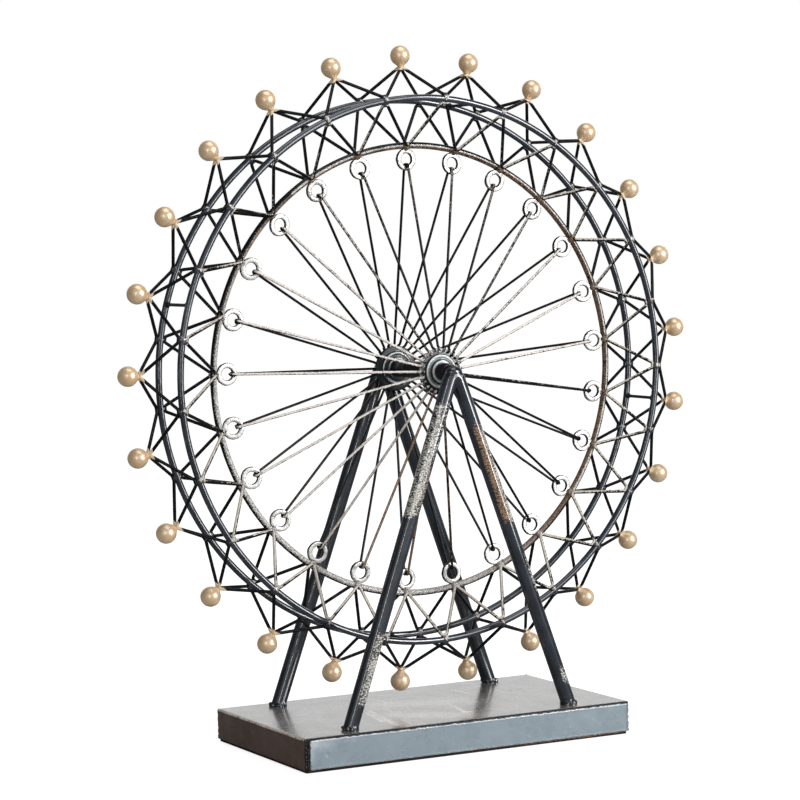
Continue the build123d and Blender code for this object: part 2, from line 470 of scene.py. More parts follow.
def sheet_enamel(name, shades, metallic, level, gloss, specks=0.0, relief=0.08 * MM):
    """Painted sheet metal with scuffs, chipped edges, dark seams, painted sheen and painted shade
    from the masks.
    """
    p = Paint(name)
    broad = p.noise(28.0, 4.0)
    cloud = p.noise(90.0, 5.0, 0.6)
    grain = p.noise(800.0, 5.0, 0.65)
    fine = p.noise(3000.0, 3.0, 0.6)
    low, high, mottle = shades
    color = p.mix(p.step(p.sum((broad, 0.5), (cloud, 0.5)), 0.35, 0.65), low, high)
    speckle = p.step(p.sum((fine, 0.5), (grain, 0.5), (p.mask("speckle"), 0.22)), 0.57, 0.72)
    color = p.mix(speckle, color, mottle)
    pits = p.step(p.sum((fine, 0.55), (grain, 0.45)), 0.42, 0.50, specks, 0.0)
    color = p.mix(pits, color, PIT)
    # painted sheen: paler patches where the pale mask says
    pale = p.marks("pale", 0.55, 1.25, (cloud, 0.6), (grain, 0.2))
    color = p.mix(pale, color, SHEEN_PALE)
    brown = p.marks("tan", 0.70, 1.30, (cloud, 0.6), (grain, 0.3))
    color = p.mix(brown, color, TAN)
    # scuffs, and pale lines painted as highlights on lit edges, lips and pimples
    scuff = p.marks("scuff", 1.16, 1.44, (grain, 1.1), (cloud, 0.5))
    color = p.mix(scuff, color, SCUFF_AND_SHEEN)
    chips = p.step(p.sum((grain, 0.7), (fine, 0.3), (p.mask("edge"), 0.16)), 0.62, 0.70)
    color = p.mix(chips, color, CHIP)
    # dark seams, and painted shade in the seam gap, in creases and under pimples
    dark = p.marks("dark", 0.58, 0.78, (grain, 0.4))
    color = p.mix(dark, color, SHADE_AND_SEAM_BLACK)
    rough = p.step(p.sum((cloud, 0.7), (grain, 0.3)), 0.3, 0.7, 0.22, 0.38)
    height = p.sum((grain, 0.6), (fine, 0.2), (chips, 0.5), (cloud, 2.0), (dark, -1.5))
    coat_sockets = {"Specular_IOR_Level": level, "Coat_Weight": gloss, "Coat_Roughness": 0.15}
    return p.finish(color, rough, p.bump(height, relief), metallic, **coat_sockets)


# the hoops' dark enamel is made slate-blue, paler than the other wires' black, as a painted sheen
HOOP_SLATE_SHEEN = ((0.015, 0.020, 0.030), (0.034, 0.045, 0.063))
BLACK = ((0.003, 0.003, 0.004), (0.007, 0.008, 0.009))
INNER_FLECK = (0.07, 0.065, 0.06)

hoop_paint = worn_enamel("hoop_enamel", HOOP_SLATE_SHEEN, gloss=1.0, rough=(0.26, 0.36), shine=1.85)
inner_under = ((0.80, 0.78, 0.75), (0.30, 0.17, 0.09))
inner_paint = worn_enamel(
    "inner_hoop_enamel", BLACK, inner_under, 1100.0, fleck=INNER_FLECK, flecks=(0.44, 0.56, 0.85)
)
wire_paint = worn_enamel("zigzag_enamel", BLACK, gloss=0.25)
strut_paint = worn_enamel("strut_enamel", ((0.008, 0.009, 0.011), (0.02, 0.022, 0.026)))
spoke_under = ((0.90, 0.84, 0.78), (0.25, 0.14, 0.08))
spoke_paint = worn_enamel("spoke_enamel", BLACK, spoke_under, 600.0, gloss=0.3)
leg_paint = worn_enamel(
    "leg_enamel",
    coat=((0.008, 0.012, 0.019), (0.020, 0.031, 0.046)),
    under=((0.98, 0.96, 0.89), (0.54, 0.29, 0.15)),
    wear_size=640.0,
    stretch=(1.0, 1.0, 2.0),
    rough=(0.26, 0.38),
    gloss=1.0,
    pits=0.09 * MM,
    shine=1.95,
    fleck=(0.10, 0.09, 0.06),
    flecks=(0.49, 0.54, 0.92),
)
flange_coat = ((0.008, 0.010, 0.012), (0.022, 0.028, 0.033))
flange_under = ((0.78, 0.82, 0.81), (0.135, 0.175, 0.185))
flange_paint = worn_enamel("flange_enamel", flange_coat, flange_under, 1500.0, gloss=0.8)
hub_paint = worn_enamel("hub_enamel", ((0.004, 0.004, 0.006), (0.010, 0.010, 0.014)))
solder_coat = ((0.004, 0.004, 0.005), (0.016, 0.014, 0.013))
solder_paint = worn_enamel("corner_enamel", solder_coat, gloss=1.0, pits=0.12 * MM)
board_coat = ((0.016, 0.010, 0.008), (0.035, 0.020, 0.015))
board_under = ((0.62, 0.52, 0.46), (0.30, 0.14, 0.09))
board_paint = worn_enamel("board_enamel", board_coat, board_under, rough=(0.5, 0.7), gloss=0.0)
steel = bright_steel("eyelet_steel")
gold = gold_paint("ball_gold")
# one sheet painted in three tones: its ends darker brown as painted shade, its long sides paler
# blue-grey as a painted sheen of the front light, its top grey-brown
lit_side_colours = ((0.272, 0.338, 0.383), (0.300, 0.365, 0.408), (0.25, 0.30, 0.34))
shaded_end_colours = ((0.100, 0.067, 0.055), (0.140, 0.102, 0.087), (0.046, 0.032, 0.027))
top_shades = ((0.095, 0.083, 0.077), (0.225, 0.208, 0.198), (0.50, 0.47, 0.45))
lit_side_sheet = sheet_enamel("base_side_lit_enamel", lit_side_colours, 0.12, 0.4, 0.5)
shaded_end_sheet = sheet_enamel("base_end_shaded_enamel", shaded_end_colours, 0.0, 0.12, 0.1, 0.35)
top_sheet = sheet_enamel("base_top_enamel", top_shades, 0.0, 1.0, 0.85, 0.90, 0.32 * MM)


# --- hoops and their welds
def from_axle(verts):
    """Offsets of points from the axle's middle, and their distances from its line."""
    offset = np.array([tuple(v) for v in verts]) - np.array(AXLE)
    return offset, np.hypot(offset[:, 0], offset[:, 2])


def copper_side(offset, reach):
    """The wheel's upper right wore to copper, and its lower left to cream."""
    return 0.5 + 0.28 * (offset[:, 0] + offset[:, 2]) / reach


def hoop_path(radius, y, wobble=0.18 * MM, steps=300):
    path = []
    for s in range(steps):
        a = 2 * pi * s / steps
        ripple = Vector((cos(a), sin(a), y / MM)) * 1.7
        r = radius + wobble * noise(ripple)
        dy = wobble * noise(ripple + Vector((5, 3, 1)))
        path.append(AXLE + Vector((sin(a) * r, y + dy, cos(a) * r)))
    return path


GLINT_SIDE = Vector((0.35, -0.75, 0.56))
HOOP_SIDES = 20


def glints(verts, centre):
    """Painted glints: bright flecks, through the wear mask, on the side of a weld that faces front,
    up and right.
    """
    return np.array([0.22 + 0.36 * max(0, (v - centre).normalized() @ GLINT_SIDE) for v in verts])


def outer_hoop(name, face):
    shape = Shape()
    path = hoop_path(OUTER_HOOP, face * HOOP_Y)
    shape.add(*tube(path, HOOP_WIRE, HOOP_SIDES, True, 0.02)[:2], wear=0.17)
    for i in range(COUNT):
        place = i + 0.5
        where = on_wheel(place, OUTER_HOOP, face * (HOOP_Y + 0.2 * MM))
        sizes = varied((2.9, 0.9, 1.1), (2.7, 0.8, 1.15), (2.1, 0.9, 1.1))
        verts, faces = blob(where, wheel_axes(place), sizes, 0.45, 1.3)
        shape.add(verts, faces, wear=glints(verts, where))
    shape.piece(f"{name}_outer_hoop", "wheel", hoop_paint, "hoop_wire", [f"outer_hoop_{name}"])


outer_hoop("front", -1)
outer_hoop("back", 1)

inner = Shape()
verts, faces, normals = tube(hoop_path(INNER_HOOP, 0.0), HOOP_WIRE, HOOP_SIDES, True, 0.03)
offset, reach = from_axle(verts)
hubward = -(normals[:, 0] * offset[:, 0] + normals[:, 2] * offset[:, 2]) / reach
copper = copper_side(offset, reach)
cream_front = np.clip(0.50 * (1 - copper) - 0.12, 0.02, 1) * -normals[:, 1]
# painted highlight: a pale line along the front of the hoop on its upper right, with less copper
# under it
highlight_line = 0.34 * bell(hubward, -0.05, 0.30) * (normals[:, 1] < 0) * (copper > 0.55)
wear = 0.34 + 0.22 * np.clip(hubward, -0.8, 1) + cream_front + highlight_line
inner.add(verts, faces, wear=wear, rust=copper + 0.12 - 2.6 * highlight_line)
for i in range(COUNT):
    for face in (-1, 1):
        where = on_wheel(i, INNER_HOOP - 0.6 * MM, face * 2.1 * MM)
        sizes = (*varied((2.4, 0.85, 1.15), (2.0, 0.85, 1.2)), 1.4)
        verts, faces = blob(where, wheel_axes(i), sizes, 0.3)
        inner.add(verts, faces, wear=0.56, rust=copper_side(*from_axle(verts)))
    where = on_wheel(i, INNER_HOOP - 2.3 * MM, 0)
    inner.add(*blob(where, wheel_axes(i), (1.2, 1.9, 1.4), 0.25), wear=0.5, rust=0.3)
inner.piece("inner_hoop_wire", "wheel", inner_paint, "bronzed_wire", ["inner_hoop"])


# --- zigzag wires
BEND_FLAT = 1.6 * MM
# sides of the wires painted paler as highlights: the upper left one, where wires also rub, and the
# one towards the camera, which leaves a pale middle with dark edges
RUB_AND_SHEEN_SIDE = np.array((-0.50, -0.35, 0.79))
FRONT_SIDE = np.array((-0.45, -0.86, 0.24))
# radius and distance from the middle plane where the wires meet the outer hoops
OUTER_BEND = (OUTER_HOOP + TOUCH, HOOP_Y)
INNER_BEND = (OUTER_HOOP - TOUCH, HOOP_Y)


def zigzag(name, node, crest, bend, paint_masks):
    """Endless wire from crest to bend and back; each is (radius, y)."""
    corners = []
    for i in range(COUNT):
        jitter = uniform(-0.5, 0.5) * MM
        corners.append(on_wheel(i, crest[0] + 0.3 * MM * uniform(-1, 1), crest[1]))
        low = on_wheel(i + 0.5, *bend)
        across = wheel_axes(i + 0.5)[1]
        corners += [low + across * (jitter + flat) for flat in (-BEND_FLAT, BEND_FLAT)]
    path = bent(corners, 1.5 * MM, closed=True, steps=4, span=2.5 * MM)
    verts, faces, normals = tube(path, ZIGZAG_WIRE, 12, True, 0.03)
    shape = Shape().add(verts, faces, **paint_masks(*from_axle(verts), normals))
    shape.piece(name, "wheel", wire_paint, "zigzag_wire", [node])


def gold_tips(_offset, reach, _normals):
    """Gold ran from the balls down the outer wires."""
    return {"gold": share(1.35 - (CREST - reach) / (2.2 * MM)), "wear": 0.08}


def rubbed_front(offset, reach, normals):
    """The front inner wires are rubbed where they near the inner hoop, and painted paler as
    highlights on their upper side, along their middle towards the camera, and at their bends as
    glints.
    """
    near = share(1.3 - (reach - INNER_HOOP) / (24 * MM))
    bend = share(1 - (INNER_BEND[0] - reach) / (2.0 * MM))
    cream = 1 - copper_side(offset, reach)
    wear = 0.14 + 0.22 * near + 0.30 * normals @ RUB_AND_SHEEN_SIDE + 0.25 * bend
    highlight_line = share(normals @ FRONT_SIDE) ** 2
    wear = wear + near * share(cream - 0.4) * (0.80 * highlight_line - 0.25)
    return {"wear": wear, "rust": 0.34 - 0.25 * cream}


def rubbed_back(_offset, reach, _normals):
    """The back inner wires are a little rubbed next to the inner hoop."""
    return {"wear": 0.10 + 0.10 * share(1 - (reach - INNER_HOOP) / (12 * MM))}


for name, face, rubbed in (("front", -1, rubbed_front), ("back", 1, rubbed_back)):
    crest, bend = (CREST, face * 1.0 * MM), (OUTER_BEND[0], face * OUTER_BEND[1])
    zigzag(f"{name}_outer_zigzag", f"outer_zigzag_{name}", crest, bend, gold_tips)
    crest, bend = (INNER_HOOP - 1.0 * MM, face * TOUCH), (INNER_BEND[0], face * INNER_BEND[1])
    zigzag(f"{name}_inner_zigzag", f"inner_zigzag_{name}", crest, bend, rubbed)

# --- struts
STRUT_WIRE, STRUT_BALLS = 1.0 * MM, (1, 7, 13, 20)
struts = Shape()
for ball in STRUT_BALLS:
    start, end = (on_wheel(ball, OUTER_HOOP, y * (HOOP_Y - HOOP_WIRE)) for y in (-1, 1))
    struts.add(*tube([start.lerp(end, k / 8) for k in range(9)], STRUT_WIRE)[:2], wear=0.2)
    for where in (start, end):
        struts.add(*blob(where, wheel_axes(ball), (1.8, 2.0, 1.2), 0.3), wear=0.3)
struts.piece("hoop_cross_struts", "wheel", strut_paint, "black_wire", ["hoop_struts"])

# --- eyelets
EYELET_TILT = 0.10
RING_POINTS, RING_SEGMENTS = 28, 56
# the section's roundness (1 is an ellipse, 0 a rectangle), how far its walls reach, and the
# painted shade, as a share of near-black, on its walls and on its flat sides
RING_ROUND, RING_WALL = 0.55, 0.80
RING_WALL_SHADE, RING_SIDE_SHADE = 0.80, 0.34
RING_WIDE, RING_MIDDLE = (EYELET_OUTER - EYELET_HOLE) / 2, (EYELET_OUTER + EYELET_HOLE) / 2
profile, wall = [], []
for k in range(RING_POINTS):
    a = 2 * pi * k / RING_POINTS
    c, s = cos(a), sin(a)
    u = copysign(abs(c) ** RING_ROUND, c) * RING_WIDE
    v = copysign(abs(s) ** RING_ROUND, s) * EYELET_HALF
    profile.append((RING_MIDDLE + u, v))
    wall.append(RING_WALL_SHADE if abs(v) < RING_WALL * EYELET_HALF else RING_SIDE_SHADE)
profile.append(profile[0])
wall.append(wall[0])

eyelets = Shape()
for i in range(COUNT):
    centre = on_wheel(i, EYELET_CIRCLE, 0)
    lean, roll = (uniform(-EYELET_TILT, EYELET_TILT) for _ in range(2))
    tilt = Matrix.Rotation(lean, 3, "Z") @ Matrix.Rotation(roll, 3, "X")
    verts, faces = lathe(profile, Vector(), RING_SEGMENTS)
    dents = (1 + 0.03 * noise((centre + v) / (1.5 * MM)) for v in verts)
    verts = [centre + tilt @ (v * dent) for v, dent in zip(verts, dents)]
    eyelets.add(verts, faces, wear=uniform(0.0, 0.3), dark=np.tile(wall, RING_SEGMENTS))
eyelets.piece("spoke_eyelets", "wheel", steel, "silver_steel", ["eyelets"])

# --- spokes
LOOP_HALF = 2.1 * MM
SPOKE_BEND = 0.95 * MM
# where a spoke's hooked end starts on its flange, leaves the flange and clears it
HOOK, RIM, CLEAR = 12.2 * MM, 14.3 * MM, 15.0 * MM
CLEAR_Y = 27.2 * MM
# rub and copper of the front strands by heading, in degrees clockwise from the top
SPOKE_TURNS = (-180, -155, -120, -60, -35, -15, 30, 50, 68, 88, 102, 130, 160, 180)
SPOKE_WEAR = (0.46, 0.50, 0.52, 0.50, 0.34, 0.20, 0.20, 0.34, 0.54, 0.54, 0.28, 0.22, 0.36, 0.46)
SPOKE_RUST = (0.82, 0.50, 0.20, 0.25, 0.40, 0.50, 0.50, 0.30, 0.10, 0.10, 0.55, 0.65, 0.80, 0.82)
spokes = Shape()
for i in range(COUNT):
    hook_turn = uniform(0.0, 0.16)
    hook = HOOK + uniform(-0.5, 0.4) * MM
    side_path = {}
    for face in (-1, 1):
        side_path[face] = [
            on_wheel(i + hook_turn * face, hook, face * (FLANGE_FACE + 0.75 * MM)),
            on_wheel(i + 0.3 * hook_turn * face, RIM, face * (FLANGE_FACE + 0.7 * MM)),
            on_wheel(i, CLEAR, face * CLEAR_Y),
            on_wheel(i, LOOP, face * LOOP_HALF),
        ]
    path = bent(side_path[-1] + side_path[1][::-1], SPOKE_BEND, steps=4, span=4 * MM)
    verts, faces, normals = tube(path, SPOKE_WIRE, 12, lump=0.05)
    offset, reach = from_axle(verts)
    out = reach / EYELET_CIRCLE
    axis = wheel_axes(i)[0]
    heading = degrees(atan2(axis.x, axis.z))
    # painted highlight: each front strand paler on its side towards the camera and on its upper
    # side, darker along its edges; near the top of the wheel it is paler towards its eyelet
    highlight_line = share(normals @ FRONT_SIDE) ** 2
    wear = np.interp(heading, SPOKE_TURNS, SPOKE_WEAR) + 0.12 * (normals @ RUB_AND_SHEEN_SIDE)
    wear = wear * (0.80 + 0.45 * highlight_line)
    wear = wear + 0.5 * share(out - 0.45) * share(axis.z - 0.4)
    wear = np.where(offset[:, 1] < 0, wear, 0.10)
    on_flange = reach < RIM
    wear = np.where(on_flange, 0.46, wear)
    rust = np.interp(heading, SPOKE_TURNS, SPOKE_RUST)
    spokes.add(verts, faces, wear=wear, rust=np.where(on_flange, 0.2, rust))
    for face in (-1, 1):
        where = on_wheel(i, LOOP - 1.0 * MM, face * 1.7 * MM)
        sizes = (*varied((1.7, 0.8, 1.1), (1.35, 0.8, 1.2)), 0.9)
        spokes.add(*blob(where, wheel_axes(i), sizes, 0.45, 0.9, 8, 12), wear=0.25)
spokes.piece("spoke_wires", "wheel", spoke_paint, "spoke_wire", ["spokes"])

# --- hub
FLANGE_HALF_PROFILE = (
    (5.2, 3.7), (6.7, 3.7), (7.0, 3.55), (7.1, 3.3), (7.1, 2.6), (7.35, 2.42), (8.0, 2.4),
    (8.5, 2.3), (8.7, 2.4), (9.9, 2.4), (10.25, 2.25), (10.4, 1.95), (10.4, 1.3), (10.6, 1.12),
    (11.2, 1.1), (13.4, 1.1), (13.85, 0.9), (14.0, 0.45), (14.0, 0.0),
)
FLANGE_MIDDLE = middle("back_flange").y
# radii of the flange's shoulders, painted bright as highlights over rubbed metal, and of its inner
# corners, painted dark as shade, and the width of each
SHOULDER_HIGHLIGHTS, CORNER_SHADES = ((6.5, 0.45), (9.85, 0.35)), ((7.15, 0.22), (10.5, 0.22))
RIM_HIGHLIGHT = (13.6, 0.5)
HUB_SEGMENTS, FLANGE_SEGMENTS = 64, 150
# the flange's face is painted lighter on its upper side, as lit, and darker below, as shade
FLANGE_LIT = Vector((-0.25, 0, 0.97))


def flange(name, face):
    """Turned disc with two steps on each side, with painted highlights on its rubbed shoulders,
    painted shade in its inner corners, and painted lighter towards its lit top.
    """

    def wave(a, radius):
        swell = noise(Vector((sin(a) * 3, cos(a) * 3, radius / (2 * MM))))
        return 0.12 * MM * swell if radius > 6 * MM else 0.0

    outward = [(r * MM, face * (FLANGE_MIDDLE + w * MM)) for r, w in FLANGE_HALF_PROFILE]
    inward = [(r * MM, face * (FLANGE_MIDDLE - w * MM)) for r, w in FLANGE_HALF_PROFILE]
    verts, faces = lathe(outward + inward[-2::-1], AXLE, FLANGE_SEGMENTS, wave)
    out = from_axle(verts)[1] / MM
    shoulder_highlight = sum(bell(out, *ring) for ring in SHOULDER_HIGHLIGHTS) + 0.6 * bell(out, *RIM_HIGHLIGHT)
    corner_shade = sum(bell(out, *ring) for ring in CORNER_SHADES)
    ground, shine = (0.58, 0.40) if face < 0 else (0.34, 0.30)
    # painted light: lighter and less rusty on the lit upper side and the shoulders, dark in the
    # inner corners
    lit_side = np.array([(v - AXLE).normalized() @ FLANGE_LIT for v in verts])
    ground = ground + 0.24 * lit_side - 0.26 * (out > 10.6)
    wear = ground + shine * shoulder_highlight * (0.65 + 0.5 * lit_side) - 1.2 * corner_shade
    rust = 0.58 - 0.55 * share(shoulder_highlight) * share(0.6 + lit_side)
    shape = Shape().add(verts, faces, wear=wear, rust=rust)
    shape.piece(f"{name}_hub_flange", "wheel", flange_paint, "worn_flange", [f"{name}_flange"])


flange("front", -1)
flange("back", 1)

SLEEVE_BORE, SLEEVE_END = 4.3 * MM, 0.3 * MM
sleeve_profile = [(SLEEVE_BORE, -HUB_HALF), (HUB_RADIUS - SLEEVE_END, -HUB_HALF)]
sleeve_profile += [(HUB_RADIUS, SLEEVE_END - HUB_HALF), (HUB_RADIUS, 0)]
sleeve_profile += [(r, -y) for r, y in sleeve_profile[-2::-1]]
sleeve_profile += [(SLEEVE_BORE, 0), sleeve_profile[0]]
sleeve = Shape().add(*lathe(sleeve_profile, AXLE, HUB_SEGMENTS), wear=0.1)
sleeve.piece("hub_sleeve", "wheel", hub_paint, "black_steel", ["hub_tube"])

AXLE_RADIUS = half_size("axle_rod").z
AXLE_END = half_size("axle_rod").y - 1.2 * MM
# the axle's rounded end, as shares of its radius and millimetres from its tip
AXLE_NOSE = [(0.0, 0.0), (0.45, 0.02), (0.75, 0.18), (0.93, 0.50), (1.0, 1.1)]
axle_profile = [(r * AXLE_RADIUS, h * MM - AXLE_END) for r, h in AXLE_NOSE]
axle_profile += [(AXLE_RADIUS, 0.0)]
axle_profile += [(r, -y) for r, y in axle_profile[-2::-1]]
axle = Shape().add(*lathe(axle_profile, AXLE, HUB_SEGMENTS), wear=0.12)
axle.piece("axle_shaft", "stand", hub_paint, "black_steel", ["axle_rod"])

# --- balls
# length and angular width of the gold that ran down to the wires, and its uneven edge
NECK, NECK_WIDTH, NECK_WAVE = 1.9 * MM, 0.30, 0.25
BALL_RINGS, BALL_SIDES = 40, 48
for i, node in enumerate(BALLS):
    centre = on_wheel(i, BALL_CIRCLE, 0)
    outward, across, axial = wheel_axes(i)
    verts = []
    for d, lat, lon in sphere(BALL_RINGS, BALL_SIDES):
        d = across * d[0] + axial * d[1] - outward * d[2]
        run = bell(lat, 0, NECK_WIDTH) * (1 + NECK_WAVE * sin(2 * lon + i))
        size = BALL_RADIUS + NECK * run + 0.04 * MM * noise((centre + d) * 300)
        verts.append(centre + d * size)
    shape = Shape().add(verts, skin(BALL_RINGS + 1, BALL_SIDES))
    shape.piece(f"gold_{node}", "wheel", gold, "gold_ball", [node])


# --- A-frames
FOOT_X, FOOT_Y = 75.3 * MM, 47.7 * MM
CROWN_X, CROWN_Y = 2.8 * MM, 44.5 * MM
# where the rods meet above the axle, how tightly they bend and how deep their feet sink
MEET_RISE, CROWN_BEND, SUNK = 3.6 * MM, 3.0 * MM, 1.4 * MM
FOOT_BLOBS = 11
MELT_VOXEL = 0.45 * MM
UPRIGHT = (Vector((1, 0, 0)), Vector((0, 1, 0)), Vector((0, 0, 1)))


def leg_ends(side, face):
    """Middle of a leg's foot on the base, and of its top at the axle's height."""
    foot = Vector((side * FOOT_X, face * FOOT_Y, BASE_TOP))
    return foot, Vector((side * CROWN_X, face * CROWN_Y, AXLE.z))


def a_frame(name, face):
    """One rod bent over at the axle, melted into the welds at its crown and feet."""
    shape = Shape()
    ends = [leg_ends(side, face) for side in (-1, 1)]
    left, right = (foot - (crown - foot).normalized() * SUNK for foot, crown in ends)
    meet = Vector((0, face * CROWN_Y, AXLE.z + MEET_RISE))
    path = bent([left, meet, right], CROWN_BEND, steps=16, span=3 * MM)
    shape.add(*tube(path, LEG_RADIUS, 32)[:2])
    for foot, _ in ends:
        for k in range(FOOT_BLOBS):
            a = 2 * pi * (k + uniform(-0.3, 0.3)) / FOOT_BLOBS
            ring = LEG_RADIUS + uniform(-0.5, 0.2) * MM
            up = uniform(0.2, 1.5) * MM
            where = foot + Vector((cos(a) * ring * 1.05, sin(a) * ring, up))
            lump = uniform(0.7, 1.35)
            shape.add(*blob(where, UPRIGHT, (lump, lump, lump * 1.2), 0.4, 1.0))
    where = Vector((0, face * (CROWN_Y + 0.3 * MM), AXLE.z + 0.4 * MM))
    shape.add(*blob(where, UPRIGHT, (5.4, 4.3, 3.4), 0.06))
    for side, depth in ((-1, 1), (1, 1), (-1, -1), (1, -1)):
        y = face * (CROWN_Y + depth * 3.0 * MM)
        where = Vector((side * 3.6 * MM, y, AXLE.z - 2.0 * MM))
        shape.add(*blob(where, UPRIGHT, (1.5, 1.2, 1.6), 0.35))
    nodes = [f"leg_{name}_left", f"leg_{name}_right"]
    piece = shape.piece(f"{name}_a_frame", "stand", leg_paint, "worn_leg_steel", nodes)
    melt = piece.modifiers.new("melt", "REMESH")
    melt.mode = "VOXEL"
    melt.voxel_size = MELT_VOXEL
    melt.use_smooth_shade = True
    ease = piece.modifiers.new("ease", "SMOOTH")
    ease.factor = 0.5
    ease.iterations = 6
    depsgraph = bpy.context.evaluated_depsgraph_get()
    solid = bpy.data.meshes.new_from_object(piece.evaluated_get(depsgraph))
    piece.modifiers.clear()
    piece.data = solid
    paint_legs(solid, face)


def band(value, low, high, soft):
    """1 between low and high, with soft ends inside them."""
    return share((value - low) / soft) * share((high - value) / soft)


# right-hand direction across the worn sides of the legs, as in the photo
ACROSS_X, ACROSS_Y = 0.878, -0.479
# rubs of the front legs by (face, side), and of the back ones: depth, start, end and soft ends
# as shares of the way from crown to foot, then the slope and level of the rub across the leg
LEG_RUBS = {
    (-1, -1): ((0.42, 0.70, 0.97, 0.04, 1.3, 0.75), (0.26, 0.43, 0.70, 0.04, 2, -1)),
    (-1, 1): (
        (0.40, 0.10, 0.50, 0.07, 1.5, 1.6),
        (0.40, 0.51, 0.68, 0.03, 2, -0.5),
        (0.40, 0.85, 0.96, 0.04, 2, 0.2),
    ),
}
BACK_RUBS = ((0.12, 0.2, 0.9, 0.2, 0, 1),)
LEG_WEAR, LEG_RUST = 0.10, 0.26
WELD_WEAR, WELD_FROM, WELD_SOFT = 0.16, 0.985, 0.01


def paint_legs(mesh, face):
    """Where the enamel of the legs is rubbed through, with a painted highlight down the front left
    one; t runs from crown to foot.
    """
    co = np.zeros(len(mesh.vertices) * 3, np.float32)
    mesh.vertices.foreach_get("co", co)
    x, y, z = co.reshape(-1, 3).T
    wear = np.full(len(x), LEG_WEAR)
    rust = np.full(len(x), LEG_RUST)
    for side in (-1, 1):
        foot, crown = leg_ends(side, face)
        t = (crown.z - z) / (crown.z - foot.z)
        mine = np.sign(x) == side
        axis_x = crown.x + (foot.x - crown.x) * t
        axis_y = crown.y + (foot.y - crown.y) * t
        right = ((x - axis_x) * ACROSS_X + (y - axis_y) * ACROSS_Y) / LEG_RADIUS
        worn, copper = 0.0, 0.0
        for depth, start, end, soft, slope, level in LEG_RUBS.get((face, side), BACK_RUBS):
            worn = worn + depth * band(t, start, end, soft) * share(slope * right + level)
        if face < 0 and side < 0:
            # painted highlight: the rub of the front left leg is stronger along a strip right of
            # its middle
            worn = worn + band(t, 0.065, 0.43, 0.03) * (0.36 + 0.10 * bell(right, 0.15, 0.5))
            copper = 0.20 * band(t, 0.2, 0.42, 0.05) * share(right)
        elif face < 0:
            copper = 0.55 * band(t, 0.08, 0.50, 0.06) - 0.9 * np.clip(right - 0.15, 0, 0.6)
        weld = WELD_WEAR * share((t - WELD_FROM) / WELD_SOFT)
        wear = np.where(mine, LEG_WEAR + worn + weld, wear)
        rust = np.where(mine, rust + copper, rust)
    for name, values in (("wear", wear), ("rust", rust)):
        layer = mesh.attributes.new(name, "FLOAT", "POINT")
        layer.data.foreach_set("value", values.astype(np.float32))


a_frame("front", -1)
a_frame("back", 1)

# --- base
LOW_Z, HIGH_Z = COVER_LOW.z, COVER_HIGH.z
HALF_X, HALF_Y = COVER_HIGH.x, COVER_HIGH.y
# how far the side sheets stand proud of the body, the lid lies above it and the seam is deep
PROUD, LID, SEAM = 0.45 * MM, 0.35 * MM, 1.30 * MM
BODY_CORNER, BOARD_CORNER = 2.2 * MM, 2.5 * MM
LEAST_CORNER = 0.2 * MM
CORNER_STEPS = 6


def outline(inset, corner, y_inset=0.0):
    """Rounded rectangle of the cover, anticlockwise from its right side."""
    hx, hy = HALF_X - inset, HALF_Y - inset - y_inset
    radius = max(corner - inset, LEAST_CORNER)
    points = []
    for cx, cy, a0 in ((1, 1, 0), (-1, 1, 90), (-1, -1, 180), (1, -1, 270)):
        for k in range(CORNER_STEPS + 1):
            a = radians(a0 + 90 * k / CORNER_STEPS)
            x, y = cx * (hx - radius), cy * (hy - radius)
            points.append((x + cos(a) * radius, y + sin(a) * radius))
    path = []
    for i, (x, y) in enumerate(points):
        nx, ny = points[(i + 1) % len(points)]
        far = hypot(nx - x, ny - y)
        parts = 120 if far > 150 * MM else 64 if far > 50 * MM else 1
        path += [(x + (nx - x) * k / parts, y + (ny - y) * k / parts) for k in range(parts)]
    return path


def stacked(levels, corner, y_inset=0.0):
    """Closed skin through rounded outlines, each at (inset, height)."""
    verts = []
    for inset, z in levels:
        verts += [(x, y, z) for x, y in outline(inset, corner, y_inset)]
    sides = len(verts) // len(levels)
    return np.array(verts), skin(len(levels), sides) + caps(len(levels), sides)


def grid(columns, rows, place, flip=False):
    """Sheet of quads; place gives the point at (column share, row share)."""
    verts = [place(i / columns, j / rows) for j in range(rows + 1) for i in range(columns + 1)]
    faces = []
    for j in range(rows):
        for i in range(columns):
            a = j * (columns + 1) + i
            quad = (a, a + 1, a + columns + 2, a + columns + 1)
            faces.append(quad[::-1] if flip else quad)
    return np.array(verts), faces


def streak(points, start, end, width):
    """How near points lie to a straight scratch, given in millimetres: 1 on it."""
    start, end = np.array(start) * MM, np.array(end) * MM
    run = end - start
    along = share(((points - start) @ run) / max(run @ run, MM**2))
    away = np.linalg.norm(points - start - along[:, None] * run, axis=1)
    return bell(away, 0, width * MM)


def rubs(points, table):
    """Depth of the rubs in a table of start, end, width and depth."""
    return sum(deep * streak(points, a, b, wide) for a, b, wide, deep in table)


body_levels = [(0.8 * MM, LOW_Z), (0.15 * MM, LOW_Z), (0.0, LOW_Z + 0.3 * MM)]
body_levels += [(0.0, LOW_Z + (HIGH_Z - LOW_Z) * k / 10) for k in range(1, 10)]
body_levels += [(0.0, HIGH_Z - 1.1 * MM), (0.10 * MM, HIGH_Z - 0.7 * MM)]
body_levels += [(0.35 * MM, HIGH_Z - 0.42 * MM), (0.8 * MM, HIGH_Z - LID), (8 * MM, HIGH_Z - LID)]
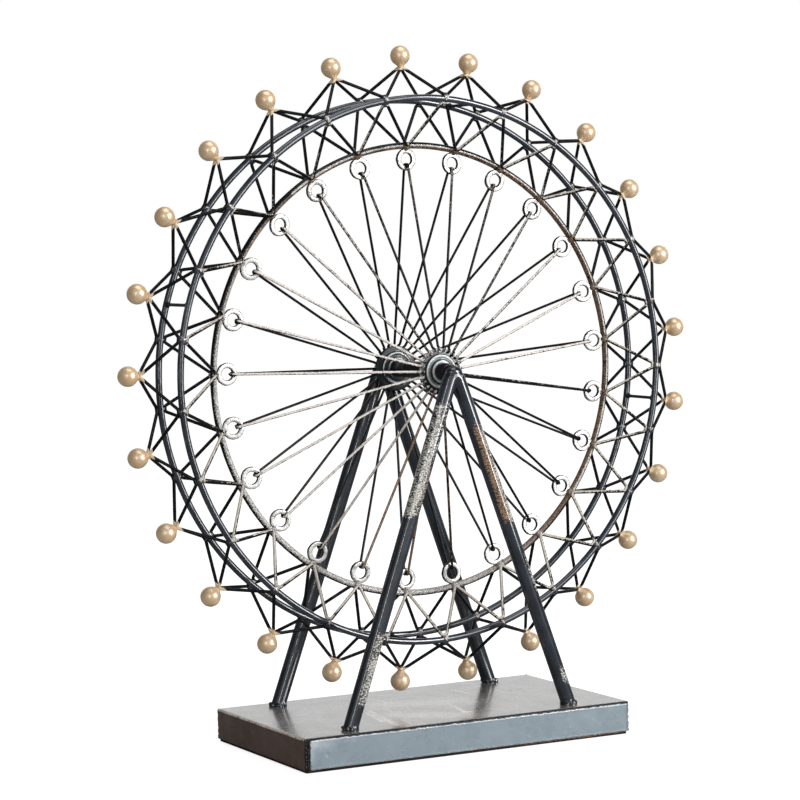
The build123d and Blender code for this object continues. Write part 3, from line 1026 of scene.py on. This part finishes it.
# nicks of the left end, as ends (y, z) in millimetres, width and depth of the mark
END_NICKS = (
    ((-5.8, 12.3), (-5.8, 12.3), 0.5, 1),
    ((-21.2, 13.2), (-21.2, 13.2), 0.5, 1),
    ((-44.6, 7.6), (-43.2, 8.8), 0.4, 1),
)
verts, faces = stacked(body_levels, BODY_CORNER, PROUD)
x, y, z = verts.T
on_end = np.abs(x) > HALF_X - 1.2 * MM
high = share((z - HIGH_Z + 1.4 * MM) / (0.25 * MM))
marks = verts[:, [1, 2]]
nicks = rubs(marks, END_NICKS)
# the end's top edge painted paler as a highlight of its lit edge, with its nicks
scuff = np.where(on_end, 0.55 * high + 0.6 * nicks * (x < 0), 0.0)
corner_dark = 0.62 * fade(HALF_Y - np.abs(y), 2.2)
# the top of the long sides painted near-black as shade in the seam under the lid; dark next to the
# corner solder
dark = np.where(on_end, corner_dark, np.maximum(high, np.abs(x) > HALF_X - 3.6 * MM))
cover = Shape().add(verts, faces, scuff=scuff, dark=dark)
cover.piece("base_cover_body", "stand", shaded_end_sheet, "base_sheet", ["base_cover"])

# the front face's pimples and dent, as x, z and size in millimetres, and its pale smears, the first
# two of which are a painted sheen at its upper corners
PIMPLES = (
    (38.8, 5.3, 0.9), (68.2, 8.2, 0.9), (51.8, 12.0, 0.5), (64.6, 4.7, 0.5), (103.2, 8.4, 0.6),
    (-20.7, 10.0, 0.6), (-57.8, 9.6, 0.6), (-47.2, 6.4, 0.5),
)
DENT = (-96.8, 10.0, 1.2)
FRONT_SMEARS_AND_SHEEN = (
    ((-104.0, 17.0), (-80.0, 17.5), 5.0, 0.30),
    ((92.0, 17.0), (106.0, 12.0), 5.0, 0.16),
    ((41.6, 5.7), (66.6, 13.4), 2.0, 0.22),
    ((79.5, 14.5), (91.7, 7.1), 2.0, 0.22),
)
FACE_CORNER = 2.4 * MM
# the sheet bulges from its rim, its lips and its pimples
BULGE, LIP, PIMPLE, DENT_DEPTH = 0.30 * MM, 0.13 * MM, 0.13 * MM, 0.20 * MM


def face_sheet(name, face):
    """Slightly dented sheet on the cover's long side, with a rolled lip at top and foot."""
    x0, x1 = COVER_LOW.x + 3.3 * MM, COVER_HIGH.x - 1.0 * MM
    z0, z1 = LOW_Z + 0.05 * MM, HIGH_Z - SEAM

    def place(u, v):
        x, z = x0 + (x1 - x0) * u, z0 + (z1 - z0) * v
        rim = min(x - x0, x1 - x, z - z0, z1 - z)
        jag = 1.5 * MM * noise(Vector((face * 3.0, 0.5, z / (1.6 * MM))))
        above = max(0.0, z - z1 + FACE_CORNER)
        jag += FACE_CORNER - sqrt(FACE_CORNER**2 - above**2)
        torn = 0.34 * MM * noise(Vector((x / (1.9 * MM), face * 7.0, 2.5)))
        out = BULGE * (1 - fade(rim, 0.30))
        for edge in (z1 - 0.55 * MM, z0 + 0.50 * MM):
            out += LIP * bell(z, edge, 0.38 * MM) * min(rim / (0.5 * MM), 1)
        sag = 0.07 * MM * noise(Vector((x * 38, face * 5.0, z * 60)))
        out += sag * min(rim / (2 * MM), 1)
        if face < 0:
            for px, pz, size in PIMPLES:
                out += PIMPLE * bell(hypot(x - px * MM, z - pz * MM), 0, size * MM)
            px, pz, size = DENT
            out -= DENT_DEPTH * bell(hypot(x - px * MM, z - pz * MM), 0, size * MM)
        x += jag * fade(x - x0, 1.5)
        z += torn * fade(z1 - z, 1.0)
        return (x, face * (HALF_Y - PROUD + min(out, PROUD)), z)

    verts, faces = grid(430, 44, place, face > 0)
    x, _, z = verts.T
    rim = np.minimum(np.minimum(x - x0, x1 - x), np.minimum(z - z0, z1 - z))
    spots = verts[:, [0, 2]]
    # painted highlights along the rolled lips at top and foot
    painted_highlight = 0.52 * bell(z, z1 - 0.35 * MM, 0.28 * MM) + 0.48 * bell(z, z0 + 0.35 * MM, 0.22 * MM)
    pale, shade = 0.0, 0.0
    if face < 0:
        for px, pz, size in PIMPLES:
            # each pimple gets a painted highlight on its upper side and painted shade below it
            lit, low = (px - 0.2 * size, pz + 0.4 * size), (px + 0.3 * size, pz - 0.7 * size)
            painted_highlight = painted_highlight + 0.55 * streak(spots, lit, lit, 0.50 * size)
            shade = shade + 0.50 * streak(spots, low, low, 0.45 * size)
        # painted sheen, fading from the left end and stronger towards the top
        pale = 0.46 * fade(x - x0, 6) * (0.55 + 0.45 * (z - z0) / (z1 - z0))
        pale = pale + rubs(spots, FRONT_SMEARS_AND_SHEEN)
    dark = 0.8 * fade(np.maximum(x - x0, 0), 0.5) + shade
    dark = dark + 0.62 * bell(x, x1 - 0.9 * MM, 0.35 * MM)
    edge = fade(np.maximum(rim, 0), 0.6)
    shape = Shape().add(verts, faces, edge=edge, dark=dark, scuff=painted_highlight, pale=pale)
    shape.piece(f"{name}_cover_sheet", "stand", lit_side_sheet, "base_sheet")


face_sheet("front", -1)
face_sheet("back", 1)

# rubs of the top, as ends (x, y) in millimetres, width and depth of the rub
TOP_RUBS = (
    ((-36.8, 0.4), (-46.2, -51.4), 3.2, 0.46),
    ((-42.4, -5.5), (-48.4, -36.9), 2.2, 0.40),
    ((-17.3, 35.8), (-13.2, 11.5), 2.6, 0.44),
    ((41.2, 35.8), (44.7, 11.1), 2.6, 0.42),
    ((15.0, -3.5), (9.1, -36.4), 3.0, 0.46),
    ((9.1, -36.4), (21.2, -36.6), 2.4, 0.42),
    ((-26.0, -0.5), (-29.6, -22.2), 2.4, 0.42),
    ((-30.0, -30.0), (-38.0, -50.0), 6.0, 0.38),
    ((61.3, -8.9), (61.3, -8.9), 1.2, 0.75),
)
# creases of the top, painted dark as shade, in the same columns
TOP_CREASE_SHADES = (
    ((67.0, 21.3), (70.0, 10.4), 0.8, 0.7),
    ((66.2, 15.2), (70.8, 14.2), 0.7, 0.7),
    ((74.5, 11.7), (81.4, 15.9), 0.7, 0.7),
)
TOP_TANS = (((-44.4, -39.6), (-42.3, -60.2), 4.0, 0.75), ((82.4, -36.9), (77.2, -54.2), 5.0, 0.80))
TOP_SPECKLES = (((-21.0, 12.6), (31.9, -2.5), 14.0, 1), ((-28.6, -22.9), (6.3, -46.5), 12.0, 1))

LID_INSET_X, LID_INSET_Y = 0.30 * MM, 0.95 * MM
EAVE, EAVE_WIDTH = 0.34 * MM, 0.35
LID_WAVE = 0.05 * MM


def lid_place(u, v):
    """Point of the top sheet, which waves a little and turns down at its edges."""
    hx, hy = HALF_X - LID_INSET_X, HALF_Y - LID_INSET_Y
    x, y = (2 * u - 1) * hx, (2 * v - 1) * hy
    rim = min(hx - abs(x), hy - abs(y))
    wave = LID_WAVE * (noise(Vector((x * 30, y * 30, 2.0))) - 1)
    return (x, y, HIGH_Z + wave - EAVE * fade(rim, EAVE_WIDTH))


verts, faces = grid(380, 210, lid_place)
x, y, z = verts.T
spots = verts[:, :2]
left_edge = fade(x + HALF_X - LID_INSET_X, 0.7)
front_edge = fade(y + HALF_Y - LID_INSET_Y, 0.9)
lid = Shape().add(
    verts,
    faces,
    # painted highlight along the lit left edge, with the top's rubs
    scuff=1.15 * rubs(spots, TOP_RUBS) + 0.5 * left_edge,
    tan=rubs(spots, TOP_TANS),
    speckle=rubs(spots, TOP_SPECKLES),
    edge=0.6 * front_edge,
    # painted shade in the seam along the front edge and in the creases
    dark=0.75 * front_edge + rubs(spots, TOP_CREASE_SHADES),
)
lid.piece("base_cover_lid", "stand", top_sheet, "base_sheet")

# two columns of blobs at each corner: how far in from the end face, and how wide
SOLDER_COLUMNS = ((0.95, 0.9), (2.2, 1.1))
SOLDER_ROWS, SOLDER_PITCH = 13, 1.35
solder = Shape()
for sx, sy in ((-1, -1), (-1, 1), (1, -1), (1, 1)):
    for k in range(SOLDER_ROWS):
        for step_in, wide in SOLDER_COLUMNS:
            x = sx * (HALF_X - step_in * MM + uniform(-0.2, 0.05) * MM)
            y = sy * (HALF_Y - 1.12 * MM + uniform(-0.15, 0.05) * MM)
            z = LOW_Z + (0.8 + SOLDER_PITCH * k + uniform(-0.4, 0.4)) * MM
            sizes = (wide * uniform(0.75, 1.0), 0.82, uniform(0.8, 1.2))
            lump = blob(Vector((x, y, z)), UPRIGHT, sizes, 0.5, 0.7, 8, 10)
            # the few pale flecks that this wear leaves are painted glints
            solder.add(*lump, wear=0.2, rust=0.2)
solder.piece("corner_solder", "stand", solder_paint, "base_sheet")

BOARD_INSET = HALF_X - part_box("base_board")[1].x
BOARD_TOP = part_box("base_board")[1].z
board_levels = [(8 * MM, 0.0), (0.5 * MM, 0.0), (0.15 * MM, 0.12 * MM), (0.05 * MM, 0.4 * MM)]
board_levels += [(0.0, 0.8 * MM), (0.02 * MM, 1.2 * MM), (0.08 * MM, LOW_Z - 0.35 * MM)]
board_levels += [(0.5 * MM, LOW_Z - 0.1 * MM), (0.6 * MM, BOARD_TOP)]
verts, faces = stacked([(BOARD_INSET + inset, z) for inset, z in board_levels], BOARD_CORNER)
x, y, z = verts.T
upper = band(z, 0.75 * MM, LOW_Z - 0.2 * MM, 0.3 * MM)
wear = 0.14 + 0.44 * upper * share(0.6 + x / HALF_X)
board = Shape().add(verts, faces, wear=wear, rust=0.55)
board.piece("base_foot_board", "stand", board_paint, "base_board", ["base_board"])


# --- stage
WHITE = (1.0, 1.0, 1.0)


def white_stage(name, lit, mirrored, seen_glow):
    """Pale matt surface that shows white to the camera and keeps soft shadows."""
    p = Paint(name)
    rays = p.add("LightPath").outputs
    shade = p.span(rays["Is Glossy Ray"], 0.0, 1.0, lit, mirrored)
    glow = p.span(rays["Is Camera Ray"], 0.0, 1.0, 0.0, seen_glow)
    emission = {"Emission_Color": WHITE, "Emission_Strength": glow}
    return p.finish(shade, 0.9, Specular_IOR_Level=0.1, **emission)


FLOOR = 6.0
floor_mesh = bpy.data.meshes.new("studio_floor")
floor_corners = [(x * FLOOR, y * FLOOR, 0) for x, y in ((-1, -1), (1, -1), (1, 1), (-1, 1))]
floor_mesh.from_pydata(floor_corners, [], [(0, 1, 2, 3)])
floor_mesh.materials.append(white_stage("studio_floor_white", 0.62, 0.20, 0.80))
floor = new_object("studio_floor", floor_mesh)
floor.location.z = -0.2 * MM

# the room's light, and how much of the wall's brightness its ceiling mirrors
AMBIENT = 0.38
CEILING_FROM, CEILING_SHARE = (0.30, 0.65), (1.0, 0.20)
# how bright the studio's wall mirrors in gloss, by azimuth: 0 in front, 90 on the right
WALL = (
    (-180, 0.60), (-168, 0.15), (-150, 0.06), (-90, 0.06), (-70, 0.25), (-50, 0.45), (0, 0.5),
    (40, 0.5), (50, 0.15), (62, 0.10), (110, 0.15), (128, 1.0), (172, 1.0), (180, 0.60),
)
world = bpy.data.worlds.new("studio_world")
scene.world = world
sky = Nodes(world)
rays = sky.add("LightPath").outputs
direction = sky.add("SeparateXYZ", {0: sky.add("TexCoord").outputs["Generated"]}).outputs
azimuth = sky.math("ARCTAN2", direction["X"], sky.math("MULTIPLY", direction["Y"], -1.0))
wall = sky.add("ValToRGB", {0: sky.span(azimuth, -pi, pi)})
stops = wall.color_ramp.elements
while len(stops) < len(WALL):
    stops.new(0.5)
for stop, (turn, level) in zip(stops, WALL):
    stop.position = (turn + 180) / 360
    stop.color = (level, level, level, 1)
ceiling = sky.span(direction["Z"], *CEILING_FROM, *CEILING_SHARE)
room = sky.math("MULTIPLY", wall.outputs[0], ceiling)
mirrored = sky.span(rays["Is Glossy Ray"], 0.0, 1.0, AMBIENT, room)
through = sky.span(rays["Is Transmission Ray"], 0.0, 1.0, mirrored, 1.0)
shown = sky.span(rays["Is Camera Ray"], 0.0, 1.0, through, 1.0)
background = sky.nodes["Background"]
sky.put(WHITE, background.inputs["Color"])
sky.put(shown, background.inputs["Strength"])

LAMPS_AIM = Vector((0, 0, 0.2))


def softbox(name, azimuth, elevation, distance, width, height, power):
    """Area lamp aimed at the wheel; azimuth 0 is in front, 90 on the right."""
    a, e = radians(azimuth), radians(elevation)
    offset = Vector((sin(a) * cos(e), -cos(a) * cos(e), sin(e)))
    lamp = bpy.data.lights.new(name, "AREA")
    lamp.shape = "RECTANGLE"
    lamp.size, lamp.size_y = width, height
    lamp.energy = power
    holder = new_object(name, lamp)
    holder.location = LAMPS_AIM + offset * distance
    holder.rotation_euler = offset.to_track_quat("Z", "Y").to_euler()


softbox("key_strip", 34, 13, 1.65, 0.18, 1.22, 9.5)
softbox("key_panel", 34, 14, 1.9, 1.30, 1.10, 13)
softbox("side_strip", -40, 8, 1.65, 0.05, 1.00, 2.0)
softbox("top_softbox", 10, 80, 1.4, 1.0, 1.0, 5)

# --- camera
CAMERA_PLACE = Vector((-0.778052, -1.402886, 0.307844))
CAMERA_TURN, CAMERA_DIP, CAMERA_ROLL = (radians(v) for v in (-28.627, 3.58, -0.996))
CAMERA_LENS, CAMERA_SENSOR = 118.86, 36.0
level_right = Vector((cos(CAMERA_TURN), sin(CAMERA_TURN), 0))
level_look = Vector((-sin(CAMERA_TURN), cos(CAMERA_TURN), 0))
look = level_look * cos(CAMERA_DIP) - Vector((0, 0, sin(CAMERA_DIP)))
level_up = level_right.cross(look)
right = level_right * cos(CAMERA_ROLL) + level_up * sin(CAMERA_ROLL)
up = level_up * cos(CAMERA_ROLL) - level_right * sin(CAMERA_ROLL)
lens = bpy.data.cameras.new("photo_camera")
lens.sensor_width, lens.lens = CAMERA_SENSOR, CAMERA_LENS
camera = new_object("photo_camera", lens)
turned = Matrix((right, up, -look)).transposed().to_4x4()
camera.matrix_world = Matrix.Translation(CAMERA_PLACE) @ turned
scene.camera = camera

scene.view_settings.view_transform = "Standard"
